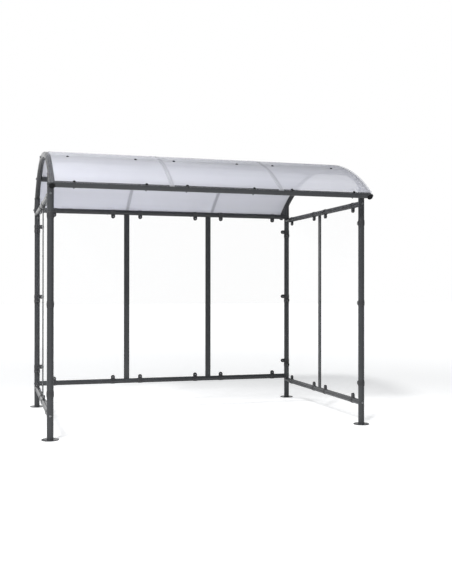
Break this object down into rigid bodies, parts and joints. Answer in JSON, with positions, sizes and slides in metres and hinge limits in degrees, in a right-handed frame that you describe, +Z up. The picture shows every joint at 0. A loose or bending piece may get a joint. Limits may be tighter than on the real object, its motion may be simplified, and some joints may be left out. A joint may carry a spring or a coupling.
{
  "type": "bike shelter",
  "caption": "Free-standing bike shelter with round steel posts, an arched translucent roof on purlins, and clear panels clamped into its rear and side walls, open at the front.",
  "frame": {"origin": "on the ground, in the middle of the four posts", "axes": "+X along the shelter's length, +Y to its back wall, +Z up; the open front faces -Y"},
  "size_m": [3.185, 2.5302, 2.7161],
  "materials": {
    "frame_steel": "anthracite powder coat, satin",
    "foot_steel": "anthracite powder coat, satin",
    "strip_steel": "anthracite powder coat, satin",
    "roof_sheet": "translucent plastic sheet, gloss",
    "roof_joiner": "clear plastic profile, gloss",
    "wall_panel": "clear plastic sheet, gloss",
    "clamp_plastic": "moulded black plastic, matt",
    "cap_plastic": "moulded black plastic, matt"
  },
  "bodies": {
    "root": {"post_front_left": "frame_steel", "post_front_right": "frame_steel", "post_rear_left": "frame_steel", "post_rear_right": "frame_steel", "base_plate_front_left": "foot_steel", "base_plate_front_right": "foot_steel", "base_plate_rear_left": "foot_steel", "base_plate_rear_right": "foot_steel", "arch_left": "frame_steel", "arch_right": "frame_steel", "eave_front": "frame_steel", "purlin_front": "frame_steel", "purlin_ridge": "frame_steel", "purlin_rear": "frame_steel", "eave_rear": "frame_steel", "rail_rear_bottom": "frame_steel", "rail_rear_top": "frame_steel", "rail_left_bottom": "frame_steel", "rail_left_top": "frame_steel", "rail_right_bottom": "frame_steel", "rail_right_top": "frame_steel", "cover_strip_rear_left": "strip_steel", "cover_strip_rear_right": "strip_steel", "cover_strip_left": "strip_steel", "cover_strip_right": "strip_steel", "roof_sheet_left": "roof_sheet", "roof_sheet_middle": "roof_sheet", "roof_sheet_right": "roof_sheet", "roof_joiner_left": "roof_joiner", "roof_joiner_right": "roof_joiner", "panel_rear_left": "wall_panel", "panel_rear_middle": "wall_panel", "panel_rear_right": "wall_panel", "panel_left_front": "wall_panel", "panel_left_rear": "wall_panel", "panel_right_front": "wall_panel", "panel_right_rear": "wall_panel", "rear_wall_clamps": "clamp_plastic", "left_wall_clamps": "clamp_plastic", "right_wall_clamps": "clamp_plastic", "arch_end_caps": "cap_plastic"}
  },
  "joints": []
}
